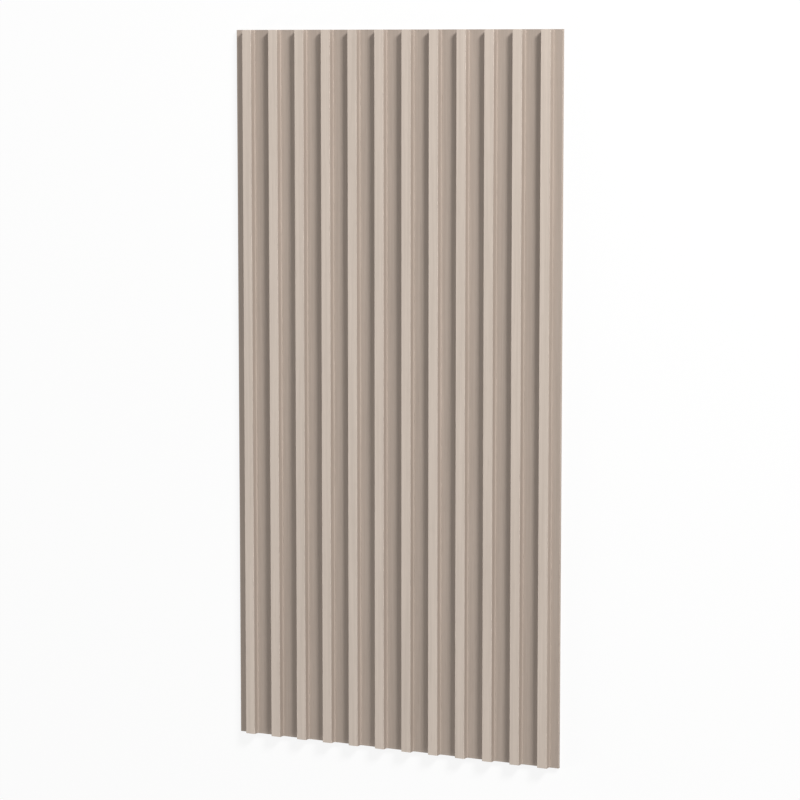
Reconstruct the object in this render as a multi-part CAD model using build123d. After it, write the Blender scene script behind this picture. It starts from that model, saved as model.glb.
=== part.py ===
from build123d import *
import os

# Slat wall panel: one board, routed from the front so that upright slats stand on a thin web.
# It lies on its back: slats up (+Z), length along Y, origin at the middle of the back.

# Sizes in mm
PANEL_LENGTH = 1200.0
SLAT_COUNT = 12
SLAT_WIDTH = 17.5
SLAT_HEIGHT = 10.5
GROOVE_WIDTH = 32.5
WEB_THICKNESS = 5.5
ARRIS_RADIUS = 0.8
ROOT_RADIUS = 2.0

# Half a groove is left at each long edge, so the spacing carries on across a joint
slat_pitch = SLAT_WIDTH + GROOVE_WIDTH
panel_width = SLAT_COUNT * slat_pitch
board_thickness = WEB_THICKNESS + SLAT_HEIGHT


def corners_at(sketch, height):
    return [v for v in sketch.vertices() if abs(v.Z - height) < 1e-6]


# Section across the slats
web = Location((0, 0, WEB_THICKNESS / 2)) * (Plane.XZ * Rectangle(panel_width, WEB_THICKNESS))
slat_middle = WEB_THICKNESS + SLAT_HEIGHT / 2
slat_positions = [(i - (SLAT_COUNT - 1) / 2) * slat_pitch for i in range(SLAT_COUNT)]
section = web
for x in slat_positions:
    section += Location((x, 0, slat_middle)) * (Plane.XZ * Rectangle(SLAT_WIDTH, SLAT_HEIGHT))

# Eased front edges on the slats, and the cove that the cutter leaves at their feet
section = fillet(corners_at(section, board_thickness), ARRIS_RADIUS)
half_width = panel_width / 2
feet = [v for v in corners_at(section, WEB_THICKNESS) if abs(v.X) < half_width - 1e-6]
section = fillet(feet, ROOT_RADIUS)

# Both ends are sawn square
slat_panel = extrude(section, PANEL_LENGTH / 2, dir=(0, 1, 0), both=True)

os.makedirs("parts", exist_ok=True)
export_step(slat_panel, "parts/slat_panel.step")
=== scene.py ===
import math

import bpy
from mathutils import Matrix, Vector


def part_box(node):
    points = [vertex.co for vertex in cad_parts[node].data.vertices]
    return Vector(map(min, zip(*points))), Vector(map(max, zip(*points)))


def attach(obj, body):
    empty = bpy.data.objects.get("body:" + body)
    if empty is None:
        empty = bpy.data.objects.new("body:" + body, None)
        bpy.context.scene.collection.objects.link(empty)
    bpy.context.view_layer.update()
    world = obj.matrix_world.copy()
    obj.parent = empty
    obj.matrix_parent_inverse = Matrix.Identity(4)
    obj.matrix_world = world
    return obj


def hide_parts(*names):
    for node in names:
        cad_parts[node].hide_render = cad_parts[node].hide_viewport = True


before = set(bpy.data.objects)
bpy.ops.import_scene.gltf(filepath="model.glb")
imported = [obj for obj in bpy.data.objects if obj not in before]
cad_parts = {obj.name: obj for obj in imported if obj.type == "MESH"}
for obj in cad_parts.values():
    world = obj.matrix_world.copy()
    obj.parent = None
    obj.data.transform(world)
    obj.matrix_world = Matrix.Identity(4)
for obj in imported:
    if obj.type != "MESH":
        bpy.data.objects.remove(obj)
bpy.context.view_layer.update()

scene = bpy.context.scene
scene.view_settings.view_transform = "Standard"


# small helpers for building node trees

def addNode(tree, kind, inputs=None, **settings):
    made = tree.nodes.new(kind)
    for name, value in settings.items():
        setattr(made, name, value)
    for key, value in (inputs or {}).items():
        feed(tree, value, made.inputs[key])
    return made


def feed(tree, value, socket):
    if isinstance(value, bpy.types.NodeSocket):
        tree.links.new(value, socket)
    else:
        socket.default_value = value


def calc(tree, operation, *values):
    made = addNode(tree, "ShaderNodeMath", dict(enumerate(values)), operation=operation)
    return made.outputs[0]


# taupe finish with a faint grain that runs along the slats, with painted shade below the slat fronts

taupe = {
    "pale": (0.612, 0.526, 0.455, 1),
    "deep": (0.511, 0.436, 0.375, 1),
    "pore": (0.383, 0.316, 0.263, 1),
    # painted shade, multiplied into everything lower than the slat fronts
    "paintedGrooveShade": (0.690, 0.671, 0.663, 1),
    "frontFrom": 0.0157,      # heights between which the painted shade gives way to the fronts' own tone
    "frontTo": 0.01598,
    # noise from low to high becomes 0 to 1
    "bands": {"perMetre": (34, 0.9, 34), "detail": 2.0, "shift": 3.1, "low": 0.3, "high": 0.7},
    "grain": {"perMetre": (240, 4.5, 240), "detail": 5.0, "shift": 11.7, "low": 0.3, "high": 0.7},
    "pores": {"perMetre": (1500, 34, 1500), "detail": 1.0, "shift": 23.9, "low": 0.62, "high": 0.74},
    "noiseRoughness": 0.6,
    "bandShare": 0.35,
    "poreShare": 0.30,
    "gloss": 0.12,
    "roughLow": 0.52,
    "roughHigh": 0.68,
    "grainRise": 0.4,         # height of the grain, where a pore's depth is 1
    "grainDepth": 0.00012,
    "reliefStrength": 0.5,
}


def spread(tree, value, low, high, newLow=0.0, newHigh=1.0):
    made = addNode(tree, "ShaderNodeMapRange", {"Value": value, "From Min": low, "From Max": high,
                                                "To Min": newLow, "To Max": newHigh})
    return made.outputs[0]


def stretchedNoise(tree, perMetre, detail, shift, low, high):
    coords = addNode(tree, "ShaderNodeTexCoord").outputs["Object"]
    stretched = addNode(tree, "ShaderNodeMapping", {"Vector": coords, "Scale": perMetre,
                                                    "Location": (shift, shift, shift)})
    noise = addNode(tree, "ShaderNodeTexNoise", {"Vector": stretched.outputs[0], "Scale": 1.0,
                                                 "Detail": detail,
                                                 "Roughness": taupe["noiseRoughness"]})
    return spread(tree, noise.outputs["Fac"], low, high)


def blendColour(tree, share, first, second, blend="MIX"):
    made = addNode(tree, "ShaderNodeMix", data_type="RGBA", blend_type=blend)
    feed(tree, share, made.inputs[0])
    feed(tree, first, made.inputs[6])    # sockets 6 and 7 take the colours
    feed(tree, second, made.inputs[7])
    return made.outputs[2]


# the material carries the grain and the painted shade below the slat fronts
def taupeFinishAndPaintedShade():
    finishAndShade = bpy.data.materials.new("taupeFinishAndPaintedShade")
    finishAndShade.use_nodes = True
    tree = finishAndShade.node_tree
    shader = tree.nodes["Principled BSDF"]

    bands = stretchedNoise(tree, **taupe["bands"])
    grain = stretchedNoise(tree, **taupe["grain"])
    pores = stretchedNoise(tree, **taupe["pores"])

    # long bands and finer grain make one tone, short pores darken it
    tone = calc(tree, "ADD", calc(tree, "MULTIPLY", bands, taupe["bandShare"]),
                calc(tree, "MULTIPLY", grain, 1 - taupe["bandShare"]))
    body = blendColour(tree, tone, taupe["deep"], taupe["pale"])
    speckled = blendColour(tree, calc(tree, "MULTIPLY", pores, taupe["poreShare"]), body, taupe["pore"])

    # painted shade: everything lower than the fronts takes a darker tone that stands in for the shade
    # in the grooves
    coords = addNode(tree, "ShaderNodeTexCoord").outputs["Object"]
    height = addNode(tree, "ShaderNodeSeparateXYZ", {"Vector": coords}).outputs["Z"]
    paintedShadeShare = spread(tree, height, taupe["frontFrom"], taupe["frontTo"], 1.0, 0.0)
    withPaintedShade = blendColour(tree, paintedShadeShare, speckled, taupe["paintedGrooveShade"], "MULTIPLY")
    feed(tree, withPaintedShade, shader.inputs["Base Color"])

    roughness = spread(tree, grain, 0.0, 1.0, taupe["roughHigh"], taupe["roughLow"])
    feed(tree, roughness, shader.inputs["Roughness"])
    shader.inputs["Specular IOR Level"].default_value = taupe["gloss"]

    raised = calc(tree, "SUBTRACT", calc(tree, "MULTIPLY", grain, taupe["grainRise"]), pores)
    relief = addNode(tree, "ShaderNodeBump", {"Height": raised, "Strength": taupe["reliefStrength"],
                                              "Distance": taupe["grainDepth"]})
    feed(tree, relief.outputs[0], shader.inputs["Normal"])
    return finishAndShade


# the panel: one slat's outline repeated across the width, closed by the back, swept along the length

panel = {
    "slatCount": 12,
    "slatWidth": 0.0175,
    "webThickness": 0.0055,
    "slatEase": 0.0008,     # eased front edges
    "footEase": 0.0020,     # cove at the feet of the slats
    "boardEase": 0.0003,    # long edges of the web
    "easeSteps": 6,
    "lengthSteps": 12,
    "flatLimit": 0.999,     # a face this square to an axis is shaded flat
    "endEase": 0.0002,      # sawn ends
    "endSteps": 2,
    "endAngle": 60,         # degrees that an edge turns before it is eased
}


def panelTree(finishAndShade):
    tree = bpy.data.node_groups.new("slatBoard", "GeometryNodeTree")
    sockets = tree.interface
    sockets.new_socket(name="board", in_out="OUTPUT", socket_type="NodeSocketGeometry")
    for name in ("slatCount", "easeSteps", "lengthSteps"):
        sockets.new_socket(name=name, in_out="INPUT", socket_type="NodeSocketInt")
    for name in ("panelWidth", "panelLength", "boardThickness", "slatWidth", "webThickness",
                 "slatEase", "footEase", "boardEase"):
        sockets.new_socket(name=name, in_out="INPUT", socket_type="NodeSocketFloat")
    sizes = tree.nodes.new("NodeGroupInput").outputs

    def corners(places, eases):
        # points in the section's plane, each with the radius its corner is eased by
        points = addNode(tree, "GeometryNodePoints", {"Count": len(places)})
        index = addNode(tree, "GeometryNodeInputIndex").outputs[0]
        pick = addNode(tree, "GeometryNodeIndexSwitch", data_type="VECTOR")
        ease = addNode(tree, "GeometryNodeIndexSwitch", data_type="FLOAT")
        for extra in range(len(places) - 2):    # a new switch has two items
            pick.index_switch_items.new()
            ease.index_switch_items.new()
        feed(tree, index, pick.inputs["Index"])
        feed(tree, index, ease.inputs["Index"])
        for spot, (x, z) in enumerate(places):
            drop = calc(tree, "MULTIPLY", z, -1.0)    # the sweep turns the section's Y to -Z
            place = addNode(tree, "ShaderNodeCombineXYZ", {"X": x, "Y": drop})
            feed(tree, place.outputs[0], pick.inputs[spot + 1])
            feed(tree, eases[spot], ease.inputs[spot + 1])
        placed = addNode(tree, "GeometryNodeSetPosition", {"Geometry": points.outputs[0],
                                                           "Position": pick.outputs[0]})
        named = addNode(tree, "GeometryNodeStoreNamedAttribute",
                        {"Geometry": placed.outputs[0], "Name": "ease", "Value": ease.outputs[0]},
                        data_type="FLOAT", domain="POINT")
        return named.outputs[0]

    halfSlat = calc(tree, "MULTIPLY", sizes["slatWidth"], 0.5)
    halfSlatLeft = calc(tree, "MULTIPLY", sizes["slatWidth"], -0.5)
    halfWidth = calc(tree, "MULTIPLY", sizes["panelWidth"], 0.5)
    halfWidthLeft = calc(tree, "MULTIPLY", sizes["panelWidth"], -0.5)
    pitch = calc(tree, "DIVIDE", sizes["panelWidth"], sizes["slatCount"])
    web = sizes["webThickness"]
    front = sizes["boardThickness"]

    slat = corners([(halfSlatLeft, web), (halfSlatLeft, front), (halfSlat, front), (halfSlat, web)],
                   [sizes["footEase"], sizes["slatEase"], sizes["slatEase"], sizes["footEase"]])
    back = corners([(halfWidth, web), (halfWidth, 0.0), (halfWidthLeft, 0.0), (halfWidthLeft, web)],
                   [sizes["boardEase"]] * 4)

    # a slat on every pitch, the first one half a pitch in from the left edge
    firstX = calc(tree, "ADD", halfWidthLeft, calc(tree, "MULTIPLY", pitch, 0.5))
    firstPlace = addNode(tree, "ShaderNodeCombineXYZ", {"X": firstX})
    step = addNode(tree, "ShaderNodeCombineXYZ", {"X": pitch})
    row = addNode(tree, "GeometryNodeMeshLine", {"Count": sizes["slatCount"],
                                                 "Start Location": firstPlace.outputs[0],
                                                 "Offset": step.outputs[0]})
    slats = addNode(tree, "GeometryNodeInstanceOnPoints", {"Points": row.outputs[0], "Instance": slat})
    slatPoints = addNode(tree, "GeometryNodeRealizeInstances", {"Geometry": slats.outputs[0]})

    # one closed outline through all the corners, eased and swept along Y
    joined = addNode(tree, "GeometryNodeJoinGeometry")
    tree.links.new(back, joined.inputs[0])
    tree.links.new(slatPoints.outputs[0], joined.inputs[0])
    line = addNode(tree, "GeometryNodePointsToCurves", {"Points": joined.outputs[0]})
    loop = addNode(tree, "GeometryNodeSetSplineCyclic", {"Geometry": line.outputs[0], "Cyclic": True})
    radius = addNode(tree, "GeometryNodeInputNamedAttribute", {"Name": "ease"}, data_type="FLOAT")
    eased = addNode(tree, "GeometryNodeFilletCurve", {"Curve": loop.outputs[0],
                                                      "Count": sizes["easeSteps"],
                                                      "Radius": radius.outputs[0]}, mode="POLY")
    halfLength = calc(tree, "MULTIPLY", sizes["panelLength"], 0.5)
    bottomEnd = addNode(tree, "ShaderNodeCombineXYZ", {"Y": calc(tree, "MULTIPLY", halfLength, -1.0)})
    topEnd = addNode(tree, "ShaderNodeCombineXYZ", {"Y": halfLength})
    path = addNode(tree, "GeometryNodeCurvePrimitiveLine", {"Start": bottomEnd.outputs[0],
                                                            "End": topEnd.outputs[0]})
    pathPoints = calc(tree, "ADD", sizes["lengthSteps"], 1.0)
    divided = addNode(tree, "GeometryNodeResampleCurve", {"Curve": path.outputs[0],
                                                          "Count": pathPoints})
    swept = addNode(tree, "GeometryNodeCurveToMesh", {"Curve": divided.outputs[0],
                                                      "Profile Curve": eased.outputs[0],
                                                      "Fill Caps": True})
    plain = addNode(tree, "GeometryNodeRemoveAttribute", {"Geometry": swept.outputs[0],
                                                          "Name": "ease"})

    # flat faces are shaded flat, only the eased edges round
    facing = addNode(tree, "GeometryNodeInputNormal").outputs["True Normal"]
    slope = addNode(tree, "ShaderNodeVectorMath", {0: facing}, operation="ABSOLUTE")
    axes = addNode(tree, "ShaderNodeSeparateXYZ", {"Vector": slope.outputs[0]}).outputs
    squareness = calc(tree, "MAXIMUM", axes["X"], calc(tree, "MAXIMUM", axes["Y"], axes["Z"]))
    rounded = calc(tree, "LESS_THAN", squareness, panel["flatLimit"])
    shaded = addNode(tree, "GeometryNodeSetShadeSmooth", {"Geometry": plain.outputs[0],
                                                          "Shade Smooth": rounded})
    whole = addNode(tree, "GeometryNodeRealizeInstances", {"Geometry": shaded.outputs[0]})
    dressed = addNode(tree, "GeometryNodeSetMaterial", {"Geometry": whole.outputs[0],
                                                        "Material": finishAndShade})
    ending = tree.nodes.new("NodeGroupOutput")
    tree.links.new(dressed.outputs[0], ending.inputs[0])
    return tree


def slatPanel(finishAndShade):
    low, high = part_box("slat_panel")
    sizes = dict(panel, panelWidth=high.x - low.x, panelLength=high.y - low.y,
                 boardThickness=high.z - low.z)
    maker = bpy.data.objects.new("panelMaker", bpy.data.meshes.new("panelMaker"))
    scene.collection.objects.link(maker)
    tree = panelTree(finishAndShade)
    nodes = maker.modifiers.new("slatBoard", "NODES")
    nodes.node_group = tree
    for item in tree.interface.items_tree:
        if item.in_out == "INPUT":
            nodes[item.identifier] = sizes[item.name]
    ends = maker.modifiers.new("easedEnds", "BEVEL")
    ends.width = panel["endEase"]
    ends.segments = panel["endSteps"]
    ends.angle_limit = math.radians(panel["endAngle"])
    evaluated = maker.evaluated_get(bpy.context.evaluated_depsgraph_get())
    mesh = bpy.data.meshes.new_from_object(evaluated)
    mesh.name = "slatPanel"
    bpy.data.objects.remove(maker)
    piece = bpy.data.objects.new("slatPanel", mesh)
    scene.collection.objects.link(piece)
    return piece


board = slatPanel(taupeFinishAndPaintedShade())
print("panel:", len(board.data.polygons), "faces")
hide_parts("slat_panel")
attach(board, "root")


# floor, light and camera

studio = {
    "floorColour": (0.90, 0.90, 0.895, 1),
    "floorRoughness": 0.9,
    "floorGlow": 0.84,        # share of plain white that the camera sees in the floor
    "floorSide": 60.0,
    "floorDrop": 0.0002,      # keeps the floor's face apart from the panel's back
    "lamps": {
        "keyLight": {"place": (3.9, 3.9, 2.55), "size": 1.2, "power": 430.0},
        "topLight": {"place": (0.0, 0.5, 7.5), "size": 1.4, "power": 218.0},
        "sideLight": {"place": (-4.6, -1.8, 1.1), "size": 1.2, "power": 82.0},
    },
    "fill": 0.07,
    "cameraPlace": (2.308, 0.575, 4.455),
    "cameraAim": (0.011, -0.0084, 0.010),
    "lens": 137.04,
    "sensorWidth": 36.0,
}


def seenRay(tree):
    # 1 where the camera looks, also by way of a reflection or through glass
    ray = addNode(tree, "ShaderNodeLightPath").outputs
    return calc(tree, "MAXIMUM", ray["Is Camera Ray"],
                calc(tree, "MAXIMUM", ray["Is Glossy Ray"], ray["Is Transmission Ray"]))


def paleFloor():
    mesh = bpy.data.meshes.new("paleFloor")
    half = studio["floorSide"] / 2
    level = -studio["floorDrop"]
    corners = [(-half, -half, level), (half, -half, level), (half, half, level), (-half, half, level)]
    mesh.from_pydata(corners, [], [(0, 1, 2, 3)])
    floor = bpy.data.objects.new("paleFloor", mesh)
    scene.collection.objects.link(floor)
    matt = bpy.data.materials.new("paleFloor")
    matt.use_nodes = True
    tree = matt.node_tree
    shader = tree.nodes["Principled BSDF"]
    shader.inputs["Base Color"].default_value = studio["floorColour"]
    shader.inputs["Roughness"].default_value = studio["floorRoughness"]
    shader.inputs["Specular IOR Level"].default_value = 0.0
    glow = addNode(tree, "ShaderNodeEmission")
    share = calc(tree, "MULTIPLY", seenRay(tree), studio["floorGlow"])
    mixed = addNode(tree, "ShaderNodeMixShader", {0: share, 1: shader.outputs[0], 2: glow.outputs[0]})
    tree.links.new(mixed.outputs[0], tree.nodes["Material Output"].inputs["Surface"])
    mesh.materials.append(matt)


def softLight(name, place, size, power):
    lamp = bpy.data.lights.new(name, "AREA")
    lamp.size = size
    lamp.energy = power
    light = bpy.data.objects.new(name, lamp)
    scene.collection.objects.link(light)
    light.location = place
    light.rotation_euler = light.location.to_track_quat("Z", "Y").to_euler()    # at the panel's middle
    light.visible_camera = False


def fillLight():
    world = bpy.data.worlds.new("fillLight")
    scene.world = world
    world.use_nodes = True
    tree = world.node_tree
    sky = tree.nodes["Background"]
    sky.inputs["Color"].default_value = (1, 1, 1, 1)
    # plain white to the camera, a weak fill for the panel
    strength = spread(tree, seenRay(tree), 0.0, 1.0, studio["fill"], 1.0)
    feed(tree, strength, sky.inputs["Strength"])


def photoCamera():
    lens = bpy.data.cameras.new("photoCamera")
    lens.sensor_width = studio["sensorWidth"]
    lens.lens = studio["lens"]
    camera = bpy.data.objects.new("photoCamera", lens)
    scene.collection.objects.link(camera)
    place = Vector(studio["cameraPlace"])
    aim = Vector(studio["cameraAim"])
    backward = (place - aim).normalized()
    right = Vector((0, 1, 0)).cross(backward).normalized()    # the slats' length is up in the picture
    up = backward.cross(right)
    turn = Matrix((right, up, backward)).transposed().to_4x4()
    camera.matrix_world = Matrix.Translation(place) @ turn
    scene.camera = camera


paleFloor()
for name, settings in studio["lamps"].items():
    softLight(name, **settings)
fillLight()
photoCamera()
print("studio: floor, lights and camera")
